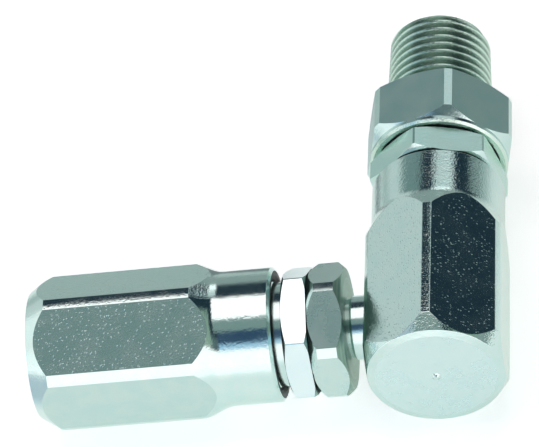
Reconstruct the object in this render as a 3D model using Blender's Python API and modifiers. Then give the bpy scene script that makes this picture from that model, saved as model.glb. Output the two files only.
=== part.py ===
"""Grease hose swivel: a right-angle fitting whose two ends each turn on a ring of balls.

The elbow is a closed hexagon barrel that lies along Y with its closed end towards -Y. Its
outlet stem, with a taper thread, turns in its open end. A link stem screwed into its side port
carries the inlet barrel, which turns on it along -X. Each swivel is built in a frame of its
own: +Z points out of the barrel's mouth, and Z = 0 is the plane of the ball centres.
"""
import math

import bmesh
import bpy
from mathutils import Matrix

MM = 0.001

# Ball bearing, the same in both swivels
BALL_RADIUS = 1.5 * MM
BALL_PITCH_RADIUS = 4.95 * MM
BALL_SPACING = 0.03 * MM
RACE_CLEARANCE = 0.10 * MM
CUP_SETBACK = 0.50 * MM

# Stem shank and the seals around its tail
SHANK_SETBACK = 0.25 * MM
SHANK_CLEARANCE = 0.15 * MM
SHOULDER_DROP = 3.35 * MM
SHOULDER_HEIGHT = 0.60 * MM
SEAL_CLEARANCE = 0.10 * MM
WASHER_THICKNESS = 1.10 * MM
BACKUP_THICKNESS = 1.20 * MM
TAIL_GAP = 0.40 * MM
TAIL_EDGE = 0.25 * MM

# Gland nut shank and the barrel thread that it screws into
THREAD_STEP = 0.45 * MM
THREAD_CLEARANCE = 0.10 * MM
THREAD_RUNOUT = 0.20 * MM
GLAND_SHANK_LENGTH = 5.80 * MM
GLAND_NECK_LENGTH = 1.80 * MM
GLAND_NECK_DROP = 0.40 * MM
GLAND_BORE_EDGE = 0.30 * MM
MOUTH_COUNTERSINK = 0.35 * MM
MOUTH_EDGE = 0.45 * MM

# Gland nut heads
OUTLET_GLAND_SEAT = 0.80 * MM
OUTLET_GLAND_HEIGHT = 3.60 * MM
OUTLET_GLAND_GAP = 0.25 * MM
OUTLET_GLAND_CORNER_CUT = 0.08 * MM
OUTLET_GLAND_TURN = math.radians(-12.8)
INLET_GLAND_SEAT = 0.60 * MM
INLET_GLAND_HEIGHT = 2.95 * MM
INLET_GLAND_GAP = 1.60 * MM
INLET_GLAND_CORNER_CUT = 0.05 * MM
INLET_GLAND_TURN = math.radians(-10.0)
GLAND_FACE_DROP = 1.20 * MM
GLAND_CONE = math.radians(60.0)

# Pipe threads at both ends, cut as rings of V grooves in place of the helix
PIPE_PITCH = 1.337 * MM
PIPE_DEPTH = 0.86 * MM

# Elbow barrel
ELBOW_WALL = 1.40 * MM
ELBOW_COLLAR_DROP = 0.10 * MM
ELBOW_CORNER_CUT = 0.295 * MM
ELBOW_COLLAR_LENGTH = 7.10 * MM
ELBOW_END_DROP = 0.02 * MM
ELBOW_END_EDGE = 0.15 * MM
ELBOW_END_LAND = 0.75 * MM
ELBOW_END_CONE = math.radians(31.0)
ELBOW_END_WALL = 4.90 * MM
ELBOW_PORT_WEB = 2.97 * MM
ELBOW_PASSAGE_RADIUS = 2.50 * MM
ELBOW_PASSAGE_OVERRUN = 2.10 * MM
ELBOW_COLLAR_CONE = math.radians(20.0)
DRILL_POINT = math.radians(59.0)

# Side port of the elbow and the spigot of the link stem
SPIGOT_RADIUS = 4.00 * MM
SPIGOT_ENGAGED = 4.90 * MM
SPIGOT_EDGE = 0.40 * MM
SPIGOT_GROOVE = 0.25 * MM
NECK_SHOWN = 1.50 * MM
PORT_RUNOUT = 0.40 * MM
PORT_COUNTERSINK = 0.40 * MM
PORT_PASSAGE_RADIUS = 2.20 * MM

# Inlet barrel
INLET_WALL = 1.40 * MM
INLET_COLLAR_DROP = 0.325 * MM
INLET_CORNER_CUT = 0.42 * MM
INLET_COLLAR_LENGTH = 6.75 * MM
INLET_COLLAR_CONE = math.radians(24.0)
INLET_BAR_TURN = math.radians(1.6)
INLET_END_CHAMFER = 1.65 * MM
INLET_END_CONE = math.radians(32.0)
INLET_THREAD_RADIUS = 5.72 * MM
INLET_THREAD_DEPTH = 13.0 * MM
INLET_COUNTERSINK = 1.10 * MM
INLET_WEB = 4.50 * MM
INLET_TURNS_CUT = 4
INLET_PASSAGE_RADIUS = 2.50 * MM

# Outlet stem
OUTLET_HEX_STEP = 3.80 * MM
OUTLET_HEX_CORNER_CUT = 0.285 * MM
OUTLET_HEX_LENGTH = 7.85 * MM
OUTLET_HEX_TURN = math.radians(14.6)
OUTLET_GAP = 0.33 * MM
OUTLET_LAND_LENGTH = 0.90 * MM
OUTLET_LAND_DROP = 1.20 * MM
OUTLET_NEAR_CONE = math.radians(48.0)
OUTLET_FAR_DROP = 1.10 * MM
OUTLET_FAR_CONE = math.radians(62.0)
OUTLET_RELIEF_LENGTH = 1.20 * MM
OUTLET_RELIEF_DEPTH = 0.45 * MM
OUTLET_THREAD_LENGTH = 11.25 * MM
OUTLET_THREAD_TIP_RADIUS = 6.39 * MM
OUTLET_THREAD_TAPER = 1.0 / 32.0
OUTLET_TIP_EDGE = 0.60 * MM
OUTLET_BORE_RADIUS = 2.25 * MM

# Link stem
LINK_HEX_STEP = 2.85 * MM
LINK_HEX_CORNER_CUT = 0.36 * MM
LINK_HEX_HEIGHT = 5.10 * MM
LINK_HEX_GAP = 0.25 * MM
LINK_HEX_TURN = math.radians(0.9)
LINK_FAR_DROP = 1.05 * MM
LINK_FAR_CONE = math.radians(55.0)
LINK_NEAR_DROP = 1.05 * MM
LINK_NEAR_CONE = math.radians(42.0)
LINK_BORE_RADIUS = 2.00 * MM

BORE_EDGE = 0.25 * MM

# Facets round a full turn, and arcs
BARREL_FACETS = 48
STEM_FACETS = 36
RING_FACETS = 26
ORING_SIDES = 8
RACE_STEPS = 6
BALL_SEGMENTS = 8
BALL_RINGS = 6
HEX_SIDES = 6
STOCK_OVERRUN = 2.0 * MM
AXIS_MARK = 5.0 * MM
MERGE_DISTANCE = 0.005 * MM
SHARP_ANGLE = math.radians(12.0)

# Radii that follow from the bearing outwards
RACE_RADIUS = BALL_RADIUS + RACE_CLEARANCE
SHANK_RADIUS = BALL_PITCH_RADIUS - SHANK_SETBACK
TAIL_RADIUS = SHANK_RADIUS - SHOULDER_HEIGHT
CHAMBER_RADIUS = BALL_PITCH_RADIUS + RACE_RADIUS
TAPPED_RADIUS = CHAMBER_RADIUS + THREAD_STEP
GLAND_SHANK_RADIUS = TAPPED_RADIUS - THREAD_CLEARANCE
GLAND_BORE_RADIUS = SHANK_RADIUS + SHANK_CLEARANCE
PORT_RADIUS = SPIGOT_RADIUS + THREAD_CLEARANCE
SEAL_INNER_RADIUS = TAIL_RADIUS + SEAL_CLEARANCE
SEAL_OUTER_RADIUS = CHAMBER_RADIUS - SEAL_CLEARANCE
ORING_SECTION_RADIUS = (SEAL_OUTER_RADIUS - SEAL_INNER_RADIUS) / 2
ORING_PITCH_RADIUS = (SEAL_OUTER_RADIUS + SEAL_INNER_RADIUS) / 2
OUTLET_HEX_AF = 2 * (SHANK_RADIUS + OUTLET_HEX_STEP)
LINK_HEX_AF = 2 * (SHANK_RADIUS + LINK_HEX_STEP)
ELBOW_COLLAR_RADIUS = TAPPED_RADIUS + ELBOW_WALL
ELBOW_AF = 2 * (ELBOW_COLLAR_RADIUS + ELBOW_COLLAR_DROP)
INLET_COLLAR_RADIUS = TAPPED_RADIUS + INLET_WALL
INLET_AF = 2 * (INLET_COLLAR_RADIUS + INLET_COLLAR_DROP)
OUTLET_GLAND_AF = 2 * (GLAND_SHANK_RADIUS + OUTLET_GLAND_SEAT)
INLET_GLAND_AF = 2 * (GLAND_SHANK_RADIUS + INLET_GLAND_SEAT)
OUTLET_THREAD_ROOT_RADIUS = OUTLET_THREAD_TIP_RADIUS + OUTLET_THREAD_LENGTH * OUTLET_THREAD_TAPER

# Heights along a swivel's axis, from the ball plane
SHOULDER = -SHOULDER_DROP
WASHER_TOP = SHOULDER - SEAL_CLEARANCE
WASHER_BOTTOM = WASHER_TOP - WASHER_THICKNESS
BACKUP_TOP = WASHER_BOTTOM - SEAL_CLEARANCE
BACKUP_BOTTOM = BACKUP_TOP - BACKUP_THICKNESS
ORING_HEIGHT = BACKUP_BOTTOM - SEAL_CLEARANCE - ORING_SECTION_RADIUS
FLOOR = ORING_HEIGHT - ORING_SECTION_RADIUS - SEAL_CLEARANCE
TAIL_END = FLOOR + TAIL_GAP
GLAND_END = CUP_SETBACK
GLAND_SEAT = GLAND_END + GLAND_SHANK_LENGTH
TAPPED_END = GLAND_END - THREAD_RUNOUT

# Heights in the outlet swivel
ELBOW_MOUTH = GLAND_SEAT - OUTLET_GLAND_GAP
PORT_HEIGHT = FLOOR - ELBOW_PORT_WEB - PORT_RADIUS
ELBOW_CLOSED_END = PORT_HEIGHT - PORT_RADIUS - ELBOW_END_WALL
OUTLET_GLAND_TOP = GLAND_SEAT + OUTLET_GLAND_HEIGHT
OUTLET_LAND_BOTTOM = OUTLET_GLAND_TOP + OUTLET_GAP
OUTLET_HEX_BOTTOM = OUTLET_LAND_BOTTOM + OUTLET_LAND_LENGTH
OUTLET_HEX_TOP = OUTLET_HEX_BOTTOM + OUTLET_HEX_LENGTH
OUTLET_THREAD_BOTTOM = OUTLET_HEX_TOP + OUTLET_RELIEF_LENGTH
OUTLET_TIP = OUTLET_THREAD_BOTTOM + OUTLET_THREAD_LENGTH

# Heights in the inlet swivel
INLET_MOUTH = GLAND_SEAT - INLET_GLAND_GAP
INLET_BORE_BOTTOM = FLOOR - INLET_WEB
INLET_END = INLET_BORE_BOTTOM - INLET_THREAD_DEPTH
INLET_GLAND_TOP = GLAND_SEAT + INLET_GLAND_HEIGHT
LINK_HEX_BOTTOM = INLET_GLAND_TOP + LINK_HEX_GAP
LINK_HEX_TOP = LINK_HEX_BOTTOM + LINK_HEX_HEIGHT
ELBOW_FLAT_HEIGHT = LINK_HEX_TOP + NECK_SHOWN
SPIGOT_END = ELBOW_FLAT_HEIGHT + SPIGOT_ENGAGED
PORT_BOTTOM = SPIGOT_END + PORT_RUNOUT
ELBOW_AXIS_HEIGHT = ELBOW_FLAT_HEIGHT + ELBOW_AF / 2

# Corners upwards: the local direction of world +Z in each swivel's frame
OUTLET_UP = math.radians(-90.0)
INLET_UP = math.radians(180.0)


def corner_radius(across_flats, cut):
    """Radius to which a hexagon's corners are turned down."""
    return across_flats / math.sqrt(3) - cut


def corner_reach(radius, across_flats, turn):
    """Furthest sideways reach of a hexagon with turned corners, one of them at turn from up."""
    band = math.pi / HEX_SIDES - math.acos(min(1.0, across_flats / 2 / radius))
    angles = [turn + side * 2 * math.pi / HEX_SIDES for side in range(HEX_SIDES)]
    misses = [abs(math.remainder(math.pi / 2 - angle, 2 * math.pi)) for angle in angles]
    return radius * math.cos(max(0.0, min(misses) - band))


def remove_old_objects():
    for old in list(bpy.data.objects):
        bpy.data.objects.remove(old, do_unlink=True)


def new_collection(name):
    collection = bpy.data.collections.new(name)
    bpy.context.scene.collection.children.link(collection)
    return collection


def new_empty(collection, name, location, rotation=(0.0, 0.0, 0.0), parent=None):
    empty = bpy.data.objects.new(name, None)
    empty.empty_display_size = AXIS_MARK
    empty.location = location
    empty.rotation_euler = rotation
    empty.parent = parent
    collection.objects.link(empty)
    return empty


def metal_or_plastic(name, colour, roughness, metallic):
    material = bpy.data.materials.new(name)
    material.use_nodes = True
    shader = material.node_tree.nodes["Principled BSDF"]
    shader.inputs["Base Color"].default_value = (*colour, 1.0)
    shader.inputs["Roughness"].default_value = roughness
    shader.inputs["Metallic"].default_value = metallic
    material.diffuse_color = (*colour, 1.0)
    return material


def zinc_plate(name, roughness=0.25):
    """Bright zinc plating with a faint blue-green cast."""
    return metal_or_plastic(name, (0.58, 0.69, 0.68), roughness, 1.0)


def turned(collection, name, profile, facets, closed, parent):
    """Solid turned about local Z from (radius, height) points that run down its outer side."""
    mesh = bpy.data.meshes.new(name)
    bm = bmesh.new()
    points = [bm.verts.new((radius, 0.0, height)) for radius, height in profile]
    for start, end in zip(points, points[1:]):
        bm.edges.new((start, end))
    if closed:
        bm.edges.new((points[-1], points[0]))
    bm.to_mesh(mesh)
    bm.free()
    piece = bpy.data.objects.new(name, mesh)
    piece.parent = parent
    collection.objects.link(piece)
    screw = piece.modifiers.new("Turn", "SCREW")
    screw.axis = "Z"
    screw.angle = 2 * math.pi
    screw.steps = facets
    screw.render_steps = facets
    screw.use_merge_vertices = True
    screw.merge_threshold = MERGE_DISTANCE
    return piece


def hexagon_stock(cutters, name, across_flats, low, high, corner_angle, parent):
    """Hexagon bar along local Z, used to mill the six flats of a turned piece."""
    first_corner = math.radians(90.0)
    mesh = bpy.data.meshes.new(name)
    bm = bmesh.new()
    radius = across_flats / math.sqrt(3)
    length = high - low + 2 * STOCK_OVERRUN
    turn = Matrix.Rotation(corner_angle - first_corner, 4, "Z")
    place = Matrix.Translation((0.0, 0.0, (low + high) / 2)) @ turn
    bmesh.ops.create_cone(bm, cap_ends=True, segments=HEX_SIDES, radius1=radius, radius2=radius,
                          depth=length, matrix=place)
    bm.to_mesh(mesh)
    bm.free()
    stock = bpy.data.objects.new(name, mesh)
    stock.parent = parent
    stock.hide_render = True
    stock.display_type = "WIRE"
    cutters.objects.link(stock)
    return stock


def cut_with(piece, cutter, operation):
    boolean = piece.modifiers.new(operation.title(), "BOOLEAN")
    boolean.operation = operation
    boolean.object = cutter
    boolean.solver = "EXACT"


def finish(piece, material, sharp_angle=SHARP_ANGLE):
    """Apply the modifiers, so that the round faces can be shaded smooth."""
    bpy.context.view_layer.update()
    evaluated = piece.evaluated_get(bpy.context.evaluated_depsgraph_get())
    mesh = bpy.data.meshes.new_from_object(evaluated)
    mesh.name = piece.name
    piece.modifiers.clear()
    piece.data = mesh
    mesh.materials.clear()
    mesh.materials.append(material)
    mesh.shade_smooth()
    mesh.set_sharp_from_angle(angle=sharp_angle)
    return piece


def cone_length(rise, half_angle):
    """Length along the axis of a cone that rises by a radius at a half angle."""
    return rise / math.tan(half_angle)


def race_arc(start, end):
    """Points of the ball race between two angles, measured from the outward direction."""
    steps = [start + (end - start) * step / RACE_STEPS for step in range(RACE_STEPS + 1)]
    return [(BALL_PITCH_RADIUS + RACE_RADIUS * math.cos(angle), RACE_RADIUS * math.sin(angle))
            for angle in steps]


def pipe_thread(radius, start, pitch, turns, taper, depth):
    """Points of a pipe thread from its first crest on: each turn is a groove and its next crest."""
    points = []
    for turn in range(turns):
        for share, cut in ((0.5, depth), (1.0, 0.0)):
            along = pitch * (turn + share)
            points.append((radius + abs(along) * taper - cut, start + along))
    return points


def chamber_profile(mouth):
    """Inside of a barrel from its floor up to its mouth: seal chamber, thread, countersink."""
    return [
        (CHAMBER_RADIUS, FLOOR),
        (CHAMBER_RADIUS, TAPPED_END - THREAD_STEP),
        (TAPPED_RADIUS, TAPPED_END),
        (TAPPED_RADIUS, mouth - MOUTH_COUNTERSINK),
        (TAPPED_RADIUS + MOUTH_COUNTERSINK, mouth),
    ]


def collar_profile(mouth, collar, corner, collar_length, cone):
    """Outside of a barrel from its mouth down to the top of its hexagon corners."""
    cone_top = mouth - collar_length
    return [
        (collar - MOUTH_EDGE, mouth),
        (collar, mouth - MOUTH_EDGE),
        (collar, cone_top),
        (corner, cone_top - cone_length(corner - collar, cone)),
    ]


def journal_profile(shank_top, bore):
    """Stem from its head down: shank, ball groove, shoulder, tail and the way into its bore."""
    groove_edge = math.acos((SHANK_RADIUS - BALL_PITCH_RADIUS) / RACE_RADIUS)
    return [
        (SHANK_RADIUS, shank_top),
        *race_arc(groove_edge, 2 * math.pi - groove_edge),
        (SHANK_RADIUS, SHOULDER),
        (TAIL_RADIUS, SHOULDER),
        (TAIL_RADIUS, TAIL_END + TAIL_EDGE),
        (TAIL_RADIUS - TAIL_EDGE, TAIL_END),
        (bore + BORE_EDGE, TAIL_END),
        (bore, TAIL_END + BORE_EDGE),
    ]


def make_elbow_body(parts, cutters, outlet, inlet):
    corner = corner_radius(ELBOW_AF, ELBOW_CORNER_CUT)
    land = ELBOW_AF / 2 - ELBOW_END_DROP
    land_top = ELBOW_CLOSED_END + ELBOW_END_LAND
    passage_end = PORT_HEIGHT - ELBOW_PASSAGE_OVERRUN
    profile = [
        (0.0, passage_end - cone_length(ELBOW_PASSAGE_RADIUS, DRILL_POINT)),
        (ELBOW_PASSAGE_RADIUS, passage_end),
        (ELBOW_PASSAGE_RADIUS, FLOOR),
        *chamber_profile(ELBOW_MOUTH),
        *collar_profile(ELBOW_MOUTH, ELBOW_COLLAR_RADIUS, corner, ELBOW_COLLAR_LENGTH, ELBOW_COLLAR_CONE),
        (corner, land_top + cone_length(corner - land, ELBOW_END_CONE)),
        (land, land_top),
        (land, ELBOW_CLOSED_END + ELBOW_END_EDGE),
        (land - ELBOW_END_EDGE, ELBOW_CLOSED_END),
        (0.0, ELBOW_CLOSED_END),
    ]
    body = turned(parts, "elbow_body", profile, BARREL_FACETS, False, outlet)
    bar = hexagon_stock(cutters, "elbow_bar", ELBOW_AF, ELBOW_CLOSED_END, ELBOW_MOUTH,
                        OUTLET_UP, outlet)
    cut_with(body, bar, "INTERSECT")
    port = [
        (0.0, ELBOW_AXIS_HEIGHT),
        (PORT_PASSAGE_RADIUS, ELBOW_AXIS_HEIGHT),
        (PORT_PASSAGE_RADIUS, PORT_BOTTOM),
        (PORT_RADIUS, PORT_BOTTOM),
        (PORT_RADIUS, ELBOW_FLAT_HEIGHT + PORT_COUNTERSINK),
        (PORT_RADIUS + 2 * PORT_COUNTERSINK, ELBOW_FLAT_HEIGHT - PORT_COUNTERSINK),
        (0.0, ELBOW_FLAT_HEIGHT - PORT_COUNTERSINK),
    ]
    port_cutter = turned(cutters, "elbow_port_drill", port, STEM_FACETS, False, inlet)
    port_cutter.hide_render = True
    port_cutter.display_type = "WIRE"
    cut_with(body, port_cutter, "DIFFERENCE")
    finish(body, zinc_plate("elbow_zinc", 0.22))


def make_gland_nut(parts, cutters, name, across_flats, corner_cut, head_height, up, parent):
    """Hollow nut whose inner end carries the outer ball race and whose head is a hexagon."""
    corner = corner_radius(across_flats, corner_cut)
    face = corner - GLAND_FACE_DROP
    chamfer = cone_length(GLAND_FACE_DROP, GLAND_CONE)
    head_top = GLAND_SEAT + head_height
    neck = GLAND_SHANK_RADIUS - GLAND_NECK_DROP
    cup_start = math.asin(GLAND_END / RACE_RADIUS)
    cup_end = math.acos((GLAND_BORE_RADIUS - BALL_PITCH_RADIUS) / RACE_RADIUS)
    cup = race_arc(cup_start, cup_end)
    profile = [
        (GLAND_BORE_RADIUS + GLAND_BORE_EDGE, head_top),
        (face, head_top),
        (corner, head_top - chamfer),
        (corner, GLAND_SEAT + chamfer),
        (face, GLAND_SEAT),
        (neck, GLAND_SEAT),
        (neck, GLAND_SEAT - GLAND_NECK_LENGTH + GLAND_NECK_DROP),
        (GLAND_SHANK_RADIUS, GLAND_SEAT - GLAND_NECK_LENGTH),
        (GLAND_SHANK_RADIUS, GLAND_END),
        *cup,
        (GLAND_BORE_RADIUS, head_top - GLAND_BORE_EDGE),
    ]
    nut = turned(parts, name, profile, STEM_FACETS, True, parent)
    bar = hexagon_stock(cutters, name + "_bar", across_flats, GLAND_END, head_top, up, parent)
    cut_with(nut, bar, "INTERSECT")
    finish(nut, zinc_plate(name + "_zinc"))


def make_outlet_stem(parts, cutters, outlet):
    corner = corner_radius(OUTLET_HEX_AF, OUTLET_HEX_CORNER_CUT)
    land = corner - OUTLET_LAND_DROP
    far_face = corner - OUTLET_FAR_DROP
    relief = OUTLET_THREAD_ROOT_RADIUS - OUTLET_RELIEF_DEPTH
    bore = OUTLET_BORE_RADIUS
    thread_length = OUTLET_THREAD_LENGTH - OUTLET_TIP_EDGE
    turns = round(thread_length / PIPE_PITCH)
    first_crest = OUTLET_THREAD_TIP_RADIUS + OUTLET_TIP_EDGE * OUTLET_THREAD_TAPER
    profile = [
        (bore + BORE_EDGE, OUTLET_TIP),
        (OUTLET_THREAD_TIP_RADIUS - OUTLET_TIP_EDGE, OUTLET_TIP),
        (first_crest, OUTLET_TIP - OUTLET_TIP_EDGE),
        *pipe_thread(first_crest, OUTLET_TIP - OUTLET_TIP_EDGE, -thread_length / turns, turns,
                     OUTLET_THREAD_TAPER, PIPE_DEPTH),
        (relief, OUTLET_THREAD_BOTTOM - OUTLET_RELIEF_DEPTH),
        (relief, OUTLET_HEX_TOP),
        (far_face, OUTLET_HEX_TOP),
        (corner, OUTLET_HEX_TOP - cone_length(OUTLET_FAR_DROP, OUTLET_FAR_CONE)),
        (corner, OUTLET_HEX_BOTTOM + cone_length(OUTLET_LAND_DROP, OUTLET_NEAR_CONE)),
        (land, OUTLET_HEX_BOTTOM),
        (land, OUTLET_LAND_BOTTOM),
        *journal_profile(OUTLET_LAND_BOTTOM, bore),
        (bore, OUTLET_TIP - BORE_EDGE),
    ]
    stem = turned(parts, "outlet_stem", profile, STEM_FACETS, True, outlet)
    bar = hexagon_stock(cutters, "outlet_stem_bar", OUTLET_HEX_AF, TAIL_END, OUTLET_TIP,
                        OUTLET_UP + OUTLET_HEX_TURN, outlet)
    cut_with(stem, bar, "INTERSECT")
    finish(stem, zinc_plate("outlet_stem_zinc"))


def make_link_stem(parts, cutters, inlet):
    corner = corner_radius(LINK_HEX_AF, LINK_HEX_CORNER_CUT)
    bore = LINK_BORE_RADIUS
    groove = SPIGOT_RADIUS - SPIGOT_GROOVE
    profile = [
        (bore + BORE_EDGE, SPIGOT_END),
        (SPIGOT_RADIUS - SPIGOT_EDGE, SPIGOT_END),
        (SPIGOT_RADIUS, SPIGOT_END - SPIGOT_EDGE),
        (SPIGOT_RADIUS, LINK_HEX_TOP + 2 * SPIGOT_GROOVE),
        (groove, LINK_HEX_TOP + SPIGOT_GROOVE),
        (groove, LINK_HEX_TOP),
        (corner - LINK_NEAR_DROP, LINK_HEX_TOP),
        (corner, LINK_HEX_TOP - cone_length(LINK_NEAR_DROP, LINK_NEAR_CONE)),
        (corner, LINK_HEX_BOTTOM + cone_length(LINK_FAR_DROP, LINK_FAR_CONE)),
        (corner - LINK_FAR_DROP, LINK_HEX_BOTTOM),
        *journal_profile(LINK_HEX_BOTTOM, bore),
        (bore, SPIGOT_END - BORE_EDGE),
    ]
    stem = turned(parts, "link_stem", profile, STEM_FACETS, True, inlet)
    bar = hexagon_stock(cutters, "link_stem_bar", LINK_HEX_AF, TAIL_END, SPIGOT_END,
                        INLET_UP + LINK_HEX_TURN, inlet)
    cut_with(stem, bar, "INTERSECT")
    finish(stem, zinc_plate("link_stem_zinc"))


def make_inlet_body(parts, cutters, inlet):
    corner = corner_radius(INLET_AF, INLET_CORNER_CUT)
    end_face = corner - INLET_END_CHAMFER
    drill_point = cone_length(INLET_THREAD_RADIUS - INLET_PASSAGE_RADIUS, DRILL_POINT)
    first_crest = INLET_END + INLET_COUNTERSINK
    profile = [
        *collar_profile(INLET_MOUTH, INLET_COLLAR_RADIUS, corner, INLET_COLLAR_LENGTH, INLET_COLLAR_CONE),
        (corner, INLET_END + cone_length(INLET_END_CHAMFER, INLET_END_CONE)),
        (end_face, INLET_END),
        (INLET_THREAD_RADIUS + INLET_COUNTERSINK, INLET_END),
        (INLET_THREAD_RADIUS, first_crest),
        *pipe_thread(INLET_THREAD_RADIUS, first_crest, PIPE_PITCH, INLET_TURNS_CUT, 0.0, -PIPE_DEPTH),
        (INLET_THREAD_RADIUS, INLET_BORE_BOTTOM),
        (INLET_PASSAGE_RADIUS, INLET_BORE_BOTTOM + drill_point),
        (INLET_PASSAGE_RADIUS, FLOOR),
        *chamber_profile(INLET_MOUTH),
    ]
    body = turned(parts, "inlet_body", profile, BARREL_FACETS, True, inlet)
    bar = hexagon_stock(cutters, "inlet_bar", INLET_AF, INLET_END, INLET_MOUTH,
                        INLET_UP + INLET_BAR_TURN, inlet)
    cut_with(body, bar, "INTERSECT")
    finish(body, zinc_plate("inlet_zinc", 0.22))


def make_flat_ring(parts, name, top, bottom, material, parent):
    profile = [
        (SEAL_INNER_RADIUS, top),
        (SEAL_OUTER_RADIUS, top),
        (SEAL_OUTER_RADIUS, bottom),
        (SEAL_INNER_RADIUS, bottom),
    ]
    finish(turned(parts, name, profile, RING_FACETS, True, parent), material)


def make_oring(parts, name, material, parent):
    angles = [-2 * math.pi * side / ORING_SIDES for side in range(ORING_SIDES)]
    profile = [(ORING_PITCH_RADIUS + ORING_SECTION_RADIUS * math.cos(angle),
                ORING_HEIGHT + ORING_SECTION_RADIUS * math.sin(angle)) for angle in angles]
    ring = turned(parts, name, profile, RING_FACETS, True, parent)
    finish(ring, material, sharp_angle=math.pi)


def ball_mesh():
    mesh = bpy.data.meshes.new("bearing_ball")
    bm = bmesh.new()
    bmesh.ops.create_uvsphere(bm, u_segments=BALL_SEGMENTS, v_segments=BALL_RINGS, radius=BALL_RADIUS)
    bm.to_mesh(mesh)
    bm.free()
    mesh.materials.append(metal_or_plastic("ball_steel", (0.55, 0.56, 0.58), 0.08, 1.0))
    mesh.shade_smooth()
    return mesh


def make_balls(parts, prefix, mesh, parent):
    """As many balls as fit round the pitch circle with the named spacing."""
    half_chord = BALL_RADIUS + BALL_SPACING / 2
    count = math.floor(math.pi / math.asin(half_chord / BALL_PITCH_RADIUS))
    for index in range(count):
        angle = 2 * math.pi * index / count
        ball = bpy.data.objects.new(f"{prefix}_ball_{index + 1:02d}", mesh)
        ball.parent = parent
        ball.location = (BALL_PITCH_RADIUS * math.cos(angle), BALL_PITCH_RADIUS * math.sin(angle), 0.0)
        ball.rotation_euler = (0.0, 0.0, angle)
        parts.objects.link(ball)


def make_seals(parts, prefix, steel, plastic, rubber, parent):
    make_flat_ring(parts, prefix + "_support_washer", WASHER_TOP, WASHER_BOTTOM, steel, parent)
    make_flat_ring(parts, prefix + "_backup_ring", BACKUP_TOP, BACKUP_BOTTOM, plastic, parent)
    make_oring(parts, prefix + "_oring", rubber, parent)


def main():
    remove_old_objects()
    parts = new_collection("grease_hose_swivel")
    cutters = new_collection("cutters")

    elbow_corner = corner_radius(ELBOW_AF, ELBOW_CORNER_CUT)
    inlet_corner = corner_radius(INLET_AF, INLET_CORNER_CUT)
    stem_corner = corner_radius(OUTLET_HEX_AF, OUTLET_HEX_CORNER_CUT)
    gland_corner = corner_radius(OUTLET_GLAND_AF, OUTLET_GLAND_CORNER_CUT)
    right_reach = max(
        corner_reach(elbow_corner, ELBOW_AF, 0.0),
        corner_reach(stem_corner, OUTLET_HEX_AF, OUTLET_HEX_TURN),
        corner_reach(gland_corner, OUTLET_GLAND_AF, OUTLET_GLAND_TURN),
    )
    left_reach = ELBOW_AXIS_HEIGHT - INLET_END
    length = OUTLET_TIP - ELBOW_CLOSED_END
    elbow_axis_x = (left_reach - right_reach) / 2
    outlet_plane_y = -length / 2 - ELBOW_CLOSED_END
    arm_axis_y = outlet_plane_y + PORT_HEIGHT

    up_reach = max(
        corner_reach(elbow_corner, ELBOW_AF, math.pi / 2),
        corner_reach(inlet_corner, INLET_AF, math.pi / 2 + INLET_BAR_TURN),
    )
    fitting = new_empty(parts, "fitting_axes", (0.0, 0.0, up_reach))
    outlet = new_empty(parts, "outlet_swivel_axis", (elbow_axis_x, outlet_plane_y, 0.0),
                       (math.radians(-90.0), 0.0, 0.0), fitting)
    inlet = new_empty(parts, "inlet_swivel_axis", (elbow_axis_x - ELBOW_AXIS_HEIGHT, arm_axis_y, 0.0),
                      (0.0, math.radians(90.0), 0.0), fitting)

    make_elbow_body(parts, cutters, outlet, inlet)
    make_gland_nut(parts, cutters, "elbow_gland_nut", OUTLET_GLAND_AF, OUTLET_GLAND_CORNER_CUT,
                   OUTLET_GLAND_HEIGHT, OUTLET_UP + OUTLET_GLAND_TURN, outlet)
    make_outlet_stem(parts, cutters, outlet)
    make_link_stem(parts, cutters, inlet)
    make_inlet_body(parts, cutters, inlet)
    make_gland_nut(parts, cutters, "inlet_gland_nut", INLET_GLAND_AF, INLET_GLAND_CORNER_CUT,
                   INLET_GLAND_HEIGHT, INLET_UP + INLET_GLAND_TURN, inlet)

    steel = metal_or_plastic("washer_steel", (0.50, 0.51, 0.52), 0.35, 1.0)
    plastic = metal_or_plastic("backup_ring_plastic", (0.85, 0.85, 0.82), 0.45, 0.0)
    rubber = metal_or_plastic("oring_rubber", (0.02, 0.02, 0.02), 0.60, 0.0)
    balls = ball_mesh()
    for prefix, axis in (("outlet", outlet), ("inlet", inlet)):
        make_balls(parts, prefix, balls, axis)
        make_seals(parts, prefix, steel, plastic, rubber, axis)


main()
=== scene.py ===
"""Looks of the grease hose swivel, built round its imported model."""

from collections import namedtuple
import math

import bmesh
import bpy
from mathutils import Matrix, Vector


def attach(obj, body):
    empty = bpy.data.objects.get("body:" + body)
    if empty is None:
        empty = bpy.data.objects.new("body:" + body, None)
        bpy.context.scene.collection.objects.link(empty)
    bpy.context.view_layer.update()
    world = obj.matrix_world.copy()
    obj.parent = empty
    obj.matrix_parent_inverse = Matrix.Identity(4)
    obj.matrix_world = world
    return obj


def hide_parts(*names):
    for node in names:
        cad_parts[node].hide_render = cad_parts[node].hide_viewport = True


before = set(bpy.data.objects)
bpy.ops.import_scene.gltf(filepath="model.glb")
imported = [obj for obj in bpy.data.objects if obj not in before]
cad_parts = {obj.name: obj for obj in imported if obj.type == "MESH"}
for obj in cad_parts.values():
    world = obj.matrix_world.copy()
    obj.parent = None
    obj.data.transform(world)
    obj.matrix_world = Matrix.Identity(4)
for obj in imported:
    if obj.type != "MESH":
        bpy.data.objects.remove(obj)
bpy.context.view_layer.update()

MM = 0.001
METRES_TO_MM = 1000.0
FULL_TURN = 2 * math.pi

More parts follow.
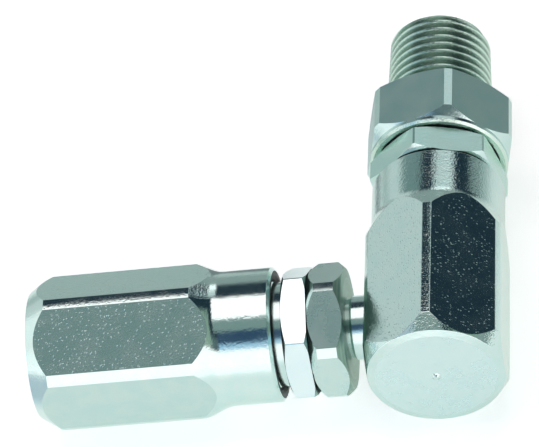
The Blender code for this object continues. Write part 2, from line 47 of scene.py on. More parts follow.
# Where the two swivels lie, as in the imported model
ELBOW_AXIS_X = 20.5441
AXIS_HEIGHT = 9.6548
OUTLET_PLANE_Y = -3.53
INLET_PLANE_X = -4.0559
ARM_AXIS_Y = -18.9
OUTLET_UP = math.radians(-90.0)
INLET_UP = math.radians(180.0)
OUTLET_PLACE = (Matrix.Translation(Vector((ELBOW_AXIS_X, OUTLET_PLANE_Y, AXIS_HEIGHT)) * MM)
                @ Matrix.Rotation(math.radians(-90.0), 4, "X"))
INLET_PLACE = (Matrix.Translation(Vector((INLET_PLANE_X, ARM_AXIS_Y, AXIS_HEIGHT)) * MM)
               @ Matrix.Rotation(math.radians(90.0), 4, "Y"))

# Camera, fitted to the edges of the object in the photograph
CAMERA_PLACE = (92.1035, -421.9139, 472.3437)
CAMERA_RIGHT = (0.98515273, 0.03276133, -0.16852538)
CAMERA_UP = (0.08833584, 0.74498095, 0.66121114)
CAMERA_BACK = (0.14721035, -0.66628079, 0.73102601)
CAMERA_FOCUS_PIXELS = 4998.56
CAMERA_REACH = (0.01, 50.0)
PHOTO_WIDTH = 539
SENSOR_WIDTH = 36.0

# Turned and milled metal, all sizes in millimetres
SPIN_STEPS = 192
THREAD_STEPS = 120
DRILL_STEPS = 96
HEX_SIDES = 6
EDGE_ROUND = 0.07
CLOSE_GAP = 0.0005
CUT_GAP = 1e-5
EDGE_ANGLE = math.radians(9.0)
SMOOTH_ANGLE = math.radians(6.0)
EASE_LENGTH = 0.7
EASE_STEPS = 7
# Material slots; the last is a dark steel that paints the shade in the gaps, bores and chambers between
# pieces
TURNED, MILLED, OTHER, GAP_SHADE = range(4)

# Radii past which each piece is its outside, and the margins round the faces that get a finish
BARREL_INSIDE = 7.60
INLET_INSIDE = 8.00
GLAND_INSIDE = 7.20
GLAND_BORE_INSIDE = 5.25
STEM_INSIDE = 7.90
LINK_INSIDE = 7.00
LINK_FACE_INSIDE = 6.00
MARGIN = 0.10
FINE_MARGIN = 0.02

# Bearing sizes, the same in both swivels
BALL_PITCH_RADIUS = 4.95
RACE_RADIUS = 1.60
RACE_STEPS = 12
SHANK_RADIUS = 4.70
TAIL_RADIUS = 4.10
CHAMBER_RADIUS = 6.55
TAPPED_RADIUS = 7.00
CHAMBER_TOP = -0.15
TAPPED_BOTTOM = 0.30
MOUTH_COUNTERSINK = 0.35
MOUTH_EDGE = 0.45
SHOULDER = -3.35
TAIL_END = -7.90
FLOOR = -8.30
SMALL_EDGE = 0.25
COLLAR_RADIUS = 8.40

# Glands
GLAND_SHANK_RADIUS = 6.90
GLAND_NECK_RADIUS = 6.50
GLAND_BORE_RADIUS = 4.85
GLAND_BORE_EDGE = 0.30
GLAND_END = 0.50
GLAND_NECK_LENGTH = 1.40
GLAND_NECK_CONE = 0.40
GLAND_FACE_DROP = 1.20
CHAMFER_SLOPE = 1 / math.tan(math.radians(64.0))
Gland = namedtuple("Gland", "across_flats corner seat top first_corner upper_face")
OUTLET_GLAND = Gland(15.4, 8.811, 6.30, 10.10, OUTLET_UP + math.radians(-12.8), 7.75)
INLET_GLAND = Gland(15.0, 8.61, 6.15, 9.34, INLET_UP + math.radians(-10.0), 8.00)

# Pipe threads: the shape of one turn as shares of the pitch and of the depth
PITCH = 1.337
THREAD_DEPTH = 0.856
CREST = 0.16
ROOT = 0.16
FLANK = (1.0 - CREST - ROOT) / 2
FLANK_EASE = 0.12
DEPTH_EASE = 0.06
LEAD_TURNS = 1.5
SPARE_TURNS = 2
SEAM_GAP = 0.05
SEAM_REACH = 0.06
RIM_REACH = 0.002

# Elbow barrel
ELBOW_AF = 17.0
ELBOW_CORNER = 9.52
ELBOW_MOUTH = 6.05
ELBOW_COLLAR_FOOT = -1.05
ELBOW_CORNER_TOP = -4.13
ELBOW_CORNER_BOTTOM = -22.05
ELBOW_LAND = 8.46
ELBOW_LAND_TOP = -24.10
ELBOW_FACE = 7.50
ELBOW_CLOSED_END = -24.37
ELBOW_PIP = ((0.62, 0.0), (0.45, 0.12), (0.25, 0.30), (0.0, 0.36))
ELBOW_PASSAGE = 2.50
ELBOW_PASSAGE_END = -17.47
ELBOW_DRILL_POINT = 1.502
ELBOW_FLAT_HEIGHT = 16.10
ELBOW_AXIS_HEIGHT = 24.60
PORT_RADIUS = 4.10
PORT_BOTTOM = 21.40
PORT_PASSAGE = 2.20
PORT_COUNTERSINK = 0.40

# Outlet stem
STEM_AF = 17.5
STEM_CORNER = 9.82
STEM_FIRST_CORNER = OUTLET_UP + math.radians(14.6)
STEM_BORE = 2.25
STEM_UNDERSIDE = 10.40
STEM_UNDERSIDE_RADIUS = 7.85
STEM_FOOT = 8.45
STEM_LAND = 8.78
STEM_LAND_BOTTOM = 10.66
STEM_LAND_TOP = 11.13
STEM_CORNER_BOTTOM = 12.12
STEM_HEX_TOP = 18.98
STEM_FAR_DROP = 1.10
STEM_FAR_CONE = math.radians(62.0)
STEM_RELIEF = 6.29
STEM_THREAD_BOTTOM = 20.18
STEM_TIP = 31.70
STEM_TIP_FACE = 5.20
STEM_TIP_CHAMFER = 5.69
STEM_CREST = 6.7916
STEM_TAPER = 1 / 32
STEM_RUNOUT = 0.50

# Link stem
LINK_AF = 15.1
LINK_CORNER = 8.358
LINK_FIRST_CORNER = INLET_UP + math.radians(0.9)
LINK_BORE = 2.00
LINK_BOTTOM = 9.42
LINK_NEAR_DROP = 0.85
LINK_NEAR_CONE = 1.00
LINK_TOP = 13.85
LINK_TOP_FACE = 6.60
LINK_TOP_RIM = 7.55
LINK_FAR_CONE = 0.95
LINK_RIM_DROP = 0.10
LINK_CHAMFER = 0.90
LINK_NECK = 3.70
LINK_NECK_END = 14.15
LINK_SPIGOT = 4.00
LINK_SPIGOT_START = 14.45
LINK_SPIGOT_END = 21.00
LINK_SPIGOT_EDGE = 0.40

# Inlet barrel
INLET_AF = 17.45
INLET_FIRST_CORNER = INLET_UP + math.radians(1.6)
INLET_CORNER = 9.655
INLET_MOUTH = 4.95
INLET_COLLAR_FOOT = -2.05
INLET_CORNER_TOP = -4.87
INLET_END = -25.70
INLET_END_CHAMFER = 1.65
INLET_END_CONE_TOP = -23.16
INLET_PASSAGE = 2.50
INLET_DRILL_END = -10.865
INLET_THREAD_TOP = -11.80
INLET_THREAD_RADIUS = 5.72
INLET_COUNTERSINK = 1.10
INLET_RUNOUT = 0.60


def shown(mesh_maker, name, body, node, place, materials):
    """Make one metal piece in its swivel's own frame, and put it where its CAD node is."""
    bm = bmesh.new()
    mesh_maker(bm)
    bmesh.ops.scale(bm, vec=(MM, MM, MM), verts=bm.verts)
    bmesh.ops.transform(bm, matrix=place, verts=bm.verts)
    mesh = bpy.data.meshes.new(name)
    bm.to_mesh(mesh)
    bm.free()
    for material in materials:
        mesh.materials.append(material)
    shade(mesh)
    piece = bpy.data.objects.new(name, mesh)
    bpy.context.scene.collection.objects.link(piece)
    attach(piece, body)
    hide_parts(node)
    return piece


def shade(mesh):
    """Shade rounds smoothly, and keep each flat apart from its rounded edges."""
    mesh.shade_smooth()
    mesh.set_sharp_from_angle(angle=SMOOTH_ANGLE)
    edge_of = {edge.key: edge for edge in mesh.edges}
    for flat in mesh.polygons:
        if flat.loop_total > 4:
            for key in flat.edge_keys:
                edge_of[key].use_edge_sharp = True


def close_up(bm):
    """Merge the seams, and point all faces outwards."""
    bmesh.ops.remove_doubles(bm, verts=bm.verts, dist=CLOSE_GAP)
    bmesh.ops.recalc_face_normals(bm, faces=bm.faces)


def turn(bm, profile, closed=True, steps=SPIN_STEPS):
    """Turn a profile of (radius, height) points about the swivel's axis."""
    points = [bm.verts.new((radius, 0.0, height)) for radius, height in profile]
    pairs = list(zip(points, points[1:]))
    if closed:
        pairs.append((points[-1], points[0]))
    edges = [bm.edges.new(pair) for pair in pairs]
    bmesh.ops.spin(bm, geom=points + edges, cent=(0, 0, 0), axis=(0, 0, 1), dvec=(0, 0, 0),
                   angle=FULL_TURN, steps=steps, use_merge=True, use_duplicate=False)
    close_up(bm)


def cut_off(bm, point, normal):
    """Cut away what lies beyond a plane."""
    geometry = bm.verts[:] + bm.edges[:] + bm.faces[:]
    return bmesh.ops.bisect_plane(bm, geom=geometry, dist=CUT_GAP, plane_co=point, plane_no=normal,
                                  clear_outer=True)


def mill_hexagon(bm, across_flats, first_corner):
    """Cut six flats into a turned piece, each one closed with a face of its own."""
    for side in range(HEX_SIDES):
        angle = first_corner + (side + 0.5) * FULL_TURN / HEX_SIDES
        normal = Vector((math.cos(angle), math.sin(angle), 0.0))
        cut = cut_off(bm, normal * across_flats / 2, normal)
        rim = [item for item in cut["geom_cut"] if isinstance(item, bmesh.types.BMEdge)]
        filled = bmesh.ops.holes_fill(bm, edges=rim, sides=0)
        for face in filled["faces"]:
            face.material_index = MILLED
    bmesh.ops.recalc_face_normals(bm, faces=bm.faces)


def soften_edges(bm, lowest_radius):
    """Break the outer edges with a small round, as plating leaves them."""
    edges = []
    for edge in bm.edges:
        middle = (edge.verts[0].co + edge.verts[1].co) / 2
        outside = math.hypot(middle.x, middle.y) > lowest_radius
        if outside and edge.is_manifold and edge.calc_face_angle() > EDGE_ANGLE:
            edges.append(edge)
    bmesh.ops.bevel(bm, geom=edges, offset=EDGE_ROUND, offset_type="OFFSET", segments=2, profile=0.5,
                    affect="EDGES", clamp_overlap=True, material=-1)


def mark_faces(bm, low, high, kind, lowest_radius=0.0, highest_radius=100.0):
    """Give the faces between two heights and two radii one of the finishes."""
    for face in bm.faces:
        middle = face.calc_center_median()
        radius = max(math.hypot(vert.co.x, vert.co.y) for vert in face.verts)
        if low < middle.z < high and lowest_radius < radius < highest_radius:
            face.material_index = kind


def eased(before, corner, after):
    """A corner of a profile, eased by a curve that leaves each side at one distance from it."""
    corner = Vector(corner)
    start, end = (corner + (Vector(side) - corner).normalized() * EASE_LENGTH for side in (before, after))
    curve = []
    for step in range(EASE_STEPS + 1):
        share = step / EASE_STEPS
        curve.append(tuple(start * (1 - share) ** 2 + corner * 2 * share * (1 - share) + end * share ** 2))
    return curve


def race_arc(start, end):
    """Points of the ball race between two angles, measured from the outward direction."""
    angles = [start + (end - start) * step / RACE_STEPS for step in range(RACE_STEPS + 1)]
    return [(BALL_PITCH_RADIUS + RACE_RADIUS * math.cos(angle), RACE_RADIUS * math.sin(angle))
            for angle in angles]


def chamber(mouth):
    """Profile of a barrel's seal chamber and tapped mouth, from the floor to the mouth."""
    return [(CHAMBER_RADIUS, FLOOR), (CHAMBER_RADIUS, CHAMBER_TOP), (TAPPED_RADIUS, TAPPED_BOTTOM),
            (TAPPED_RADIUS, mouth - MOUTH_COUNTERSINK), (TAPPED_RADIUS + MOUTH_COUNTERSINK, mouth)]


def journal(shank_top, bore):
    """Profile of a stem's shank, ball race, shoulder and tail, down to its bore."""
    edge = math.acos((SHANK_RADIUS - BALL_PITCH_RADIUS) / RACE_RADIUS)
    return [(SHANK_RADIUS, shank_top), *race_arc(edge, FULL_TURN - edge), (SHANK_RADIUS, SHOULDER),
            (TAIL_RADIUS, SHOULDER), (TAIL_RADIUS, TAIL_END + SMALL_EDGE),
            (TAIL_RADIUS - SMALL_EDGE, TAIL_END), (bore + SMALL_EDGE, TAIL_END),
            (bore, TAIL_END + SMALL_EDGE)]


def thread_ribbon(bm, low, high, crest_at_low, taper, depth):
    """Helical thread surface, cut square at both ends. A negative depth cuts outwards, as in a bore."""
    root_end = CREST + FLANK + ROOT
    shape = [(0.0, 0.0), (CREST, 0.0), (CREST + FLANK_EASE * FLANK, DEPTH_EASE),
             (CREST + (1 - FLANK_EASE) * FLANK, 1 - DEPTH_EASE), (CREST + FLANK, 1.0), (root_end, 1.0),
             (root_end + FLANK_EASE * FLANK, 1 - DEPTH_EASE),
             (root_end + (1 - FLANK_EASE) * FLANK, DEPTH_EASE), (1.0, 0.0)]
    turns = math.ceil((high - low) / PITCH) + SPARE_TURNS
    points = [bm.verts.new((crest_at_low - depth * cut, 0.0, low + PITCH * (along - LEAD_TURNS)))
              for along, cut in shape]
    edges = [bm.edges.new(pair) for pair in zip(points, points[1:])]
    bmesh.ops.spin(bm, geom=points + edges, cent=(0, 0, 0), axis=(0, 0, 1),
                   dvec=(0, 0, PITCH / THREAD_STEPS), angle=FULL_TURN * turns,
                   steps=THREAD_STEPS * turns, use_merge=False, use_duplicate=False)
    bmesh.ops.remove_doubles(bm, verts=bm.verts, dist=CLOSE_GAP)
    for height, outward in ((low, -1), (high, 1)):
        cut_off(bm, (0, 0, height), (0, 0, outward))
    for vert in bm.verts:
        radius = math.hypot(vert.co.x, vert.co.y)
        vert.co.xy *= (radius - (vert.co.z - low) * taper) / radius
    for face in bm.faces:
        face.material_index = OTHER


def trim_thread(bm, limit, chamfer_radius, chamfered_end, relief, relief_end, runout):
    """Chamfer a thread at 45 degrees at one end, and run it out to a plain radius at the other."""
    slope = 1 if limit is min else -1
    for vert in bm.verts:
        radius = math.hypot(vert.co.x, vert.co.y)
        start = chamfer_radius + slope * abs(chamfered_end - vert.co.z)
        fade = max(0.0, 1.0 - abs(vert.co.z - relief_end) / runout)
        vert.co.xy *= (limit(radius, start) * (1 - fade) + relief * fade) / radius


def join_turning(bm, turning, rims):
    """Add the turned part to its thread, and bridge the open rims at each height within its reach."""
    mesh = bpy.data.meshes.new("turning")
    turning.to_mesh(mesh)
    turning.free()
    bm.from_mesh(mesh)
    bpy.data.meshes.remove(mesh)
    for height, reach in rims:
        rim = [edge for edge in bm.edges if edge.is_boundary
               and all(abs(vert.co.z - height) < reach for vert in edge.verts)]
        bmesh.ops.bridge_loops(bm, edges=rim)
    close_up(bm)


def elbow_mesh(bm):
    """Closed-end hexagon barrel with a turned collar."""
    collar_top = (COLLAR_RADIUS, ELBOW_MOUTH)
    collar_foot = (COLLAR_RADIUS, ELBOW_COLLAR_FOOT)
    corner_top = (ELBOW_CORNER, ELBOW_CORNER_TOP)
    turn(bm, [
        (0.0, ELBOW_PASSAGE_END - ELBOW_DRILL_POINT), (ELBOW_PASSAGE, ELBOW_PASSAGE_END),
        (ELBOW_PASSAGE, FLOOR), *chamber(ELBOW_MOUTH),
        (COLLAR_RADIUS - MOUTH_EDGE, ELBOW_MOUTH), (COLLAR_RADIUS, ELBOW_MOUTH - MOUTH_EDGE),
        *eased(collar_top, collar_foot, corner_top), corner_top, (ELBOW_CORNER, ELBOW_CORNER_BOTTOM),
        (ELBOW_LAND, ELBOW_LAND_TOP), (ELBOW_FACE, ELBOW_CLOSED_END),
        *((radius, ELBOW_CLOSED_END - depth) for radius, depth in ELBOW_PIP),
    ], closed=False)
    mill_hexagon(bm, ELBOW_AF, OUTLET_UP)
    soften_edges(bm, BARREL_INSIDE)
    mark_faces(bm, ELBOW_CLOSED_END - FINE_MARGIN, ELBOW_CLOSED_END + FINE_MARGIN, OTHER)
    # Chamber and mouth take the dark steel: painted shade inside the barrel and in the gap under the gland
    mark_faces(bm, FLOOR - MARGIN, ELBOW_MOUTH - MARGIN, GAP_SHADE, highest_radius=BARREL_INSIDE)
    mark_faces(bm, ELBOW_MOUTH - MARGIN, ELBOW_MOUTH + MARGIN, GAP_SHADE)


def drill_port(elbow):
    """Bore the side port for the link stem, with a countersink at the flat."""
    bm = bmesh.new()
    port_rim = ELBOW_FLAT_HEIGHT - PORT_COUNTERSINK
    turn(bm, [(0.0, ELBOW_AXIS_HEIGHT), (PORT_PASSAGE, ELBOW_AXIS_HEIGHT), (PORT_PASSAGE, PORT_BOTTOM),
              (PORT_RADIUS, PORT_BOTTOM), (PORT_RADIUS, ELBOW_FLAT_HEIGHT + PORT_COUNTERSINK),
              (PORT_RADIUS + 2 * PORT_COUNTERSINK, port_rim), (0.0, port_rim)],
         closed=False, steps=DRILL_STEPS)
    bmesh.ops.scale(bm, vec=(MM, MM, MM), verts=bm.verts)
    bmesh.ops.transform(bm, matrix=INLET_PLACE, verts=bm.verts)
    mesh = bpy.data.meshes.new("port_drill")
    bm.to_mesh(mesh)
    bm.free()
    drill = bpy.data.objects.new("port_drill", mesh)
    bpy.context.scene.collection.objects.link(drill)
    bore = elbow.modifiers.new("Port", "BOOLEAN")
    bore.operation = "DIFFERENCE"
    bore.solver = "EXACT"
    bore.object = drill
    bpy.context.view_layer.update()
    bored = bpy.data.meshes.new_from_object(elbow.evaluated_get(bpy.context.evaluated_depsgraph_get()))
    elbow.modifiers.clear()
    elbow.data = bored
    shade(bored)
    bpy.data.objects.remove(drill, do_unlink=True)


def gland_mesh(bm, gland):
    """Hollow hexagon nut whose lower end is the outer half of the ball race."""
    _, corner, seat, top, first_corner, upper_face = gland
    face = corner - GLAND_FACE_DROP
    chamfer, upper_chamfer = (CHAMFER_SLOPE * (corner - radius) for radius in (face, upper_face))
    neck_bottom = seat - GLAND_NECK_LENGTH
    cup = race_arc(math.asin(GLAND_END / RACE_RADIUS),
                   math.acos((GLAND_BORE_RADIUS - BALL_PITCH_RADIUS) / RACE_RADIUS))
    turn(bm, [
        (GLAND_BORE_RADIUS + GLAND_BORE_EDGE, top), (upper_face, top), (corner, top - upper_chamfer),
        (corner, seat + chamfer), (face, seat), (GLAND_NECK_RADIUS, seat),
        (GLAND_NECK_RADIUS, neck_bottom), (GLAND_SHANK_RADIUS, neck_bottom - GLAND_NECK_CONE),
        (GLAND_SHANK_RADIUS, GLAND_END), *cup, (GLAND_BORE_RADIUS, top - GLAND_BORE_EDGE),
    ])
    mill_hexagon(bm, gland.across_flats, first_corner)
    soften_edges(bm, GLAND_INSIDE)
    mark_faces(bm, top - upper_chamfer, top - FINE_MARGIN, OTHER, lowest_radius=GLAND_INSIDE)
    # Top face, seat face and bore take the dark steel: painted shade in the gaps against the stem and the
    # barrel
    mark_faces(bm, top - FINE_MARGIN, top + FINE_MARGIN, GAP_SHADE)
    mark_faces(bm, seat - FINE_MARGIN, seat + FINE_MARGIN, GAP_SHADE)
    mark_faces(bm, -RACE_RADIUS, top + MARGIN, GAP_SHADE, highest_radius=GLAND_BORE_INSIDE)


def outlet_stem_mesh(bm):
    """Hexagon stem with a male taper thread above it and a ball journal below it."""
    thread_ribbon(bm, STEM_THREAD_BOTTOM, STEM_TIP, STEM_CREST, STEM_TAPER, THREAD_DEPTH)
    trim_thread(bm, min, STEM_TIP_CHAMFER, STEM_TIP, STEM_RELIEF, STEM_THREAD_BOTTOM, STEM_RUNOUT)
    turning = bmesh.new()
    turn(turning, [
        (STEM_RELIEF, STEM_THREAD_BOTTOM - SEAM_GAP), (STEM_RELIEF, STEM_HEX_TOP),
        (STEM_CORNER - STEM_FAR_DROP, STEM_HEX_TOP),
        (STEM_CORNER, STEM_HEX_TOP - STEM_FAR_DROP / math.tan(STEM_FAR_CONE)),
        (STEM_CORNER, STEM_CORNER_BOTTOM), (STEM_LAND, STEM_LAND_TOP), (STEM_LAND, STEM_LAND_BOTTOM),
        (STEM_FOOT, STEM_UNDERSIDE), (STEM_UNDERSIDE_RADIUS, STEM_UNDERSIDE),
        *journal(STEM_UNDERSIDE, STEM_BORE), (STEM_BORE, STEM_TIP - SMALL_EDGE),
        (STEM_BORE + SMALL_EDGE, STEM_TIP), (STEM_TIP_FACE, STEM_TIP),
    ], closed=False, steps=THREAD_STEPS)
    mill_hexagon(turning, STEM_AF, STEM_FIRST_CORNER)
    soften_edges(turning, STEM_INSIDE)
    # Journal and inner underside take the dark steel: painted shade inside the elbow barrel
    mark_faces(turning, FLOOR, STEM_UNDERSIDE + FINE_MARGIN, GAP_SHADE, highest_radius=STEM_INSIDE)
    mark_faces(turning, STEM_UNDERSIDE - FINE_MARGIN, STEM_LAND_BOTTOM - FINE_MARGIN, OTHER,
               lowest_radius=STEM_INSIDE)
    join_turning(bm, turning, ((STEM_THREAD_BOTTOM, SEAM_REACH), (STEM_TIP, RIM_REACH)))


def link_stem_mesh(bm):
    """Hexagon stem with a ball journal below it and a spigot that screws into the elbow."""
    turn(bm, [
        (LINK_BORE + SMALL_EDGE, LINK_SPIGOT_END), (LINK_SPIGOT - LINK_SPIGOT_EDGE, LINK_SPIGOT_END),
        (LINK_SPIGOT, LINK_SPIGOT_END - LINK_SPIGOT_EDGE), (LINK_SPIGOT, LINK_SPIGOT_START),
        (LINK_NECK, LINK_NECK_END), (LINK_NECK, LINK_TOP), (LINK_TOP_FACE, LINK_TOP),
        (LINK_TOP_RIM, LINK_TOP - LINK_RIM_DROP), (LINK_CORNER, LINK_TOP - LINK_FAR_CONE),
        (LINK_CORNER, LINK_BOTTOM + LINK_NEAR_CONE), (LINK_CORNER - LINK_NEAR_DROP, LINK_BOTTOM),
        *journal(LINK_BOTTOM, LINK_BORE), (LINK_BORE, LINK_SPIGOT_END - SMALL_EDGE),
    ])
    mill_hexagon(bm, LINK_AF, LINK_FIRST_CORNER)
    soften_edges(bm, LINK_INSIDE)
    # Journal takes the dark steel: painted shade inside the inlet barrel
    mark_faces(bm, FLOOR, LINK_BOTTOM + 0.01, GAP_SHADE)
    # Far end and its chamfer take the third slot, darkened as painted shade
    mark_faces(bm, LINK_TOP - LINK_CHAMFER, LINK_TOP + FINE_MARGIN, OTHER, LINK_FACE_INSIDE)
    mark_faces(bm, LINK_TOP - FINE_MARGIN, LINK_TOP + FINE_MARGIN, OTHER)


def inlet_mesh(bm):
    """Hexagon barrel with a turned collar and a female pipe thread."""
    thread_mouth = INLET_THREAD_RADIUS + INLET_COUNTERSINK
    collar_top = (COLLAR_RADIUS, INLET_MOUTH)
    collar_foot = (COLLAR_RADIUS, INLET_COLLAR_FOOT)
    corner_top = (INLET_CORNER, INLET_CORNER_TOP)
    thread_ribbon(bm, INLET_END, INLET_THREAD_TOP, INLET_THREAD_RADIUS, 0.0, -THREAD_DEPTH)
    trim_thread(bm, max, thread_mouth, INLET_END, INLET_THREAD_RADIUS, INLET_THREAD_TOP, INLET_RUNOUT)
    turning = bmesh.new()
    turn(turning, [
        (thread_mouth + SEAM_GAP, INLET_END), (INLET_CORNER - INLET_END_CHAMFER, INLET_END),
        (INLET_CORNER, INLET_END_CONE_TOP), corner_top, *eased(corner_top, collar_foot, collar_top),
        (COLLAR_RADIUS, INLET_MOUTH - MOUTH_COUNTERSINK), (COLLAR_RADIUS - MOUTH_EDGE, INLET_MOUTH),
        *reversed(chamber(INLET_MOUTH)), (INLET_PASSAGE, FLOOR), (INLET_PASSAGE, INLET_DRILL_END),
        (INLET_THREAD_RADIUS, INLET_THREAD_TOP + SEAM_GAP),
    ], closed=False, steps=THREAD_STEPS)
    mill_hexagon(turning, INLET_AF, INLET_FIRST_CORNER)
    soften_edges(turning, BARREL_INSIDE)
    # Chamber and inner mouth take the dark steel: painted shade inside the barrel and in the gap under the
    # gland
    mark_faces(turning, FLOOR - MARGIN, INLET_MOUTH + MARGIN, GAP_SHADE, highest_radius=INLET_INSIDE)
    join_turning(bm, turning, ((INLET_END, RIM_REACH), (INLET_THREAD_TOP, SEAM_REACH)))


class Value:
    """A socket that takes part in arithmetic. Each operation adds its Math node."""

    def __init__(self, nodes, socket):
        self.nodes, self.socket = nodes, socket

    def math(self, operation, *values):
        return self.nodes.add("ShaderNodeMath", {"operation": operation}, *values)

    def __add__(self, other):
        return self.math("ADD", self, other)

    def __sub__(self, other):
        return self.math("SUBTRACT", self, other)

    def __rsub__(self, other):
        return self.math("SUBTRACT", other, self)

    def __mul__(self, other):
        return self.math("MULTIPLY", self, other)

    __radd__ = __add__
    __rmul__ = __mul__


class Nodes:
    """The node tree of one material or of the world."""

    def __init__(self, tree):
        self.tree = tree
        tree.nodes.clear()

    def add(self, kind, settings=None, *values, output=0, **named):
        """Add a node, set its settings first, then its sockets by place or by name."""
        node = self.tree.nodes.new(kind)
        for key, value in (settings or {}).items():
            setattr(node, key, value)
        sockets = list(enumerate(values)) + [(key.replace("_", " "), value) for key, value in named.items()]
        for key, value in sockets:
            self.feed(node.inputs[key], value)
        return Value(self, node.outputs[output]) if node.outputs else None

    def feed(self, socket, value):
        """Link a value to a socket, or set the socket to a plain one."""
        if isinstance(value, Value):
            self.tree.links.new(value.socket, socket)
        else:
            socket.default_value = value

    def mix(self, factor, first, second):
        """Mix two colours."""
        node = self.tree.nodes.new("ShaderNodeMix")
        node.data_type = "RGBA"
        for index, value in ((0, factor), (6, first), (7, second)):
            self.feed(node.inputs[index], value)
        return Value(self, node.outputs[2])

    def smooth(self, value, low, high):
        """Smooth step of a value from 0 to 1 between two bounds."""
        return self.add("ShaderNodeMapRange", {"interpolation_type": "SMOOTHSTEP"}, value, low, high,
                        0.0, 1.0)

    def between(self, value, rims, soft):
        """1 where a value lies between two rims, 0 outside them, with soft rims."""
        low, high = rims
        return self.smooth(value, low - soft, low + soft) * (1 - self.smooth(value, high - soft, high + soft))

    def axes(self, vector):
        """The three parts of a vector."""
        return [self.add("ShaderNodeSeparateXYZ", None, vector, output=axis) for axis in range(3)]

    def object_place(self):
        return self.add("ShaderNodeTexCoord", None, output=3)

    def noise(self, position, scale, detail, roughness=0.6):
        return self.add("ShaderNodeTexNoise", None, position, Scale=scale, Detail=detail,
                        Roughness=roughness)


# Zinc plate: its colours, and the scales of its textures in marks per millimetre
COOL_ZINC = (0.605, 0.778, 0.752)
WARM_ZINC = (0.650, 0.800, 0.760)
# Darker zinc in the roots of the outlet thread: painted shade
ROOT_SHADE_ZINC = (0.330, 0.450, 0.390, 1.0)
FACED_SHEEN = (0.700, 0.840, 0.830, 1.0)
THREAD_TINT = (0.05, 0.05, -0.01)
CLOUD_SCALE = 0.35
PEEL_SCALE = 2.1
GRAIN_SCALE = 4.5
PIT_SCALE = 3.4
PIT_RIMS = (0.08, 0.38)
PIT_SHARE = (0.30, 0.95)
TONE_RIMS = (0.35, 0.65)
ROOT_SHADE_DEPTHS = (0.02, 0.30)
SHEEN_SHARE = 0.22
GRAIN_SHARE = 0.6
PIT_HEIGHT = 2.0
ROUGHNESS_SPREAD = 0.05

# Tool marks of each cut: marks per millimetre over (x, y, z), z along the axis, and their share of relief
TOOL_MARKS = {
    "turned": ((0.15, 0.15, 3.2), 0.35),
    "milled": ((1.6, 1.6, 0.30), 0.15),
    "threaded": ((0.5, 0.5, 4.0), 0.6),
    "faced": ((3.0, 0.0, 0.0), 0.8),
}

# Finish of each cut on each piece, in the order of the piece's slots, with the relief in metres
Finish = namedtuple("Finish", "roughness relief pits tint", defaults=(0.0, (0.0, 0.0, 0.0)))
FINISHES = {
    "elbow": {
        "turned": Finish(0.10, 30e-6),
        "milled": Finish(0.12, 16e-6, 0.6),
        "faced": Finish(0.26, 2.5e-6, 0.0, (0.03, 0.04, 0.06)),
    },
    "outlet_gland": {
        "turned": Finish(0.16, 7e-6),
        "milled": Finish(0.22, 9e-6, 0.2, (-0.06, -0.01, -0.03)),
        "faced": Finish(0.26, 4e-6),
    },
    "outlet_stem": {
        "turned": Finish(0.16, 12e-6),
        "milled": Finish(0.30, 7e-6, 0.3, (-0.12, -0.10, -0.09)),
        "threaded": Finish(0.22, 28e-6, 0.3, THREAD_TINT),
    },
    "link_stem": {
        "turned": Finish(0.14, 6e-6),
        "milled": Finish(0.26, 8e-6, 0.4, (-0.04, -0.04, -0.04)),
        # Far end of the link stem darkened: painted shade, which the elbow's flat shows in its reflection
        "faced": Finish(0.30, 5e-6, 0.0, (-0.40, -0.44, -0.48)),
    },
    "inlet": {
        "turned": Finish(0.10, 14e-6, 0.0, (0.03, 0.03, 0.03)),
        "milled": Finish(0.20, 9e-6, 1.3, (-0.06, -0.06, -0.06)),
        "threaded": Finish(0.26, 8e-6, 0.3, THREAD_TINT),
    },
    "inlet_gland": {
        "turned": Finish(0.14, 5e-6),
        "milled": Finish(0.16, 4e-6, 0.0, (0.18, 0.15, 0.20)),
        # Upper chamfer of the inlet gland darkened: painted shade of the gap against the link hexagon
        "faced": Finish(0.30, 5e-6, 0.0, (-0.40, -0.44, -0.46)),
    },
}

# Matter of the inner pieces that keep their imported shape, by what their names hold
INNER_MATTER = {
    "ball": ("bearing_ball_steel", (0.52, 0.53, 0.54), (0.60, 0.61, 0.62), 1.0, 0.08, 1.5, 1e-6),
    "washer": ("washer_steel", (0.40, 0.42, 0.43), (0.52, 0.53, 0.54), 1.0, 0.25, 1.2, 4e-6),
    "backup": ("backup_ring_plastic", (0.72, 0.71, 0.66), (0.80, 0.79, 0.75), 0.0, 0.35, 0.6, 3e-6),
    "oring": ("seal_rubber", (0.012, 0.012, 0.013), (0.022, 0.022, 0.022), 0.0, 0.40, 1.5, 5e-6),
}
# Dark steel that paints the shade in the gaps, bores and chambers between the pieces
GAP_SHADE_MATTER = ("painted_gap_shade_steel", (0.012, 0.018, 0.018), (0.045, 0.060, 0.058), 0.6, 0.42, 0.8, 6e-6)
FINE_SCALE = 5
FINE_SHARE = 0.4
INNER_SPREAD = 0.10


def tinted(colour, tint):
    return tuple(base + shift for base, shift in zip(colour, tint)) + (1.0,)


def swivel_position(nodes, place):
    """Place in the swivel's own frame, in millimetres."""
    seat = place.inverted()
    local = nodes.add("ShaderNodeMapping", {"vector_type": "POINT"}, nodes.object_place(),
                      tuple(seat.translation), tuple(seat.to_euler()), (1.0, 1.0, 1.0))
    return nodes.add("ShaderNodeVectorMath", {"operation": "SCALE"}, local, Scale=METRES_TO_MM)


def axis_distance(nodes, position):
    """Distance from the swivel's axis."""
    flat = nodes.add("ShaderNodeVectorMath", {"operation": "MULTIPLY"}, position, (1.0, 1.0, 0.0))
    return nodes.add("ShaderNodeVectorMath", {"operation": "LENGTH"}, flat, output=1)


def crest_depth(nodes, position):
    """Depth below the crests of the outlet stem's taper thread."""
    _, _, along = nodes.axes(position)
    crest = STEM_CREST + STEM_THREAD_BOTTOM * STEM_TAPER - along * STEM_TAPER
    return crest - axis_distance(nodes, position)


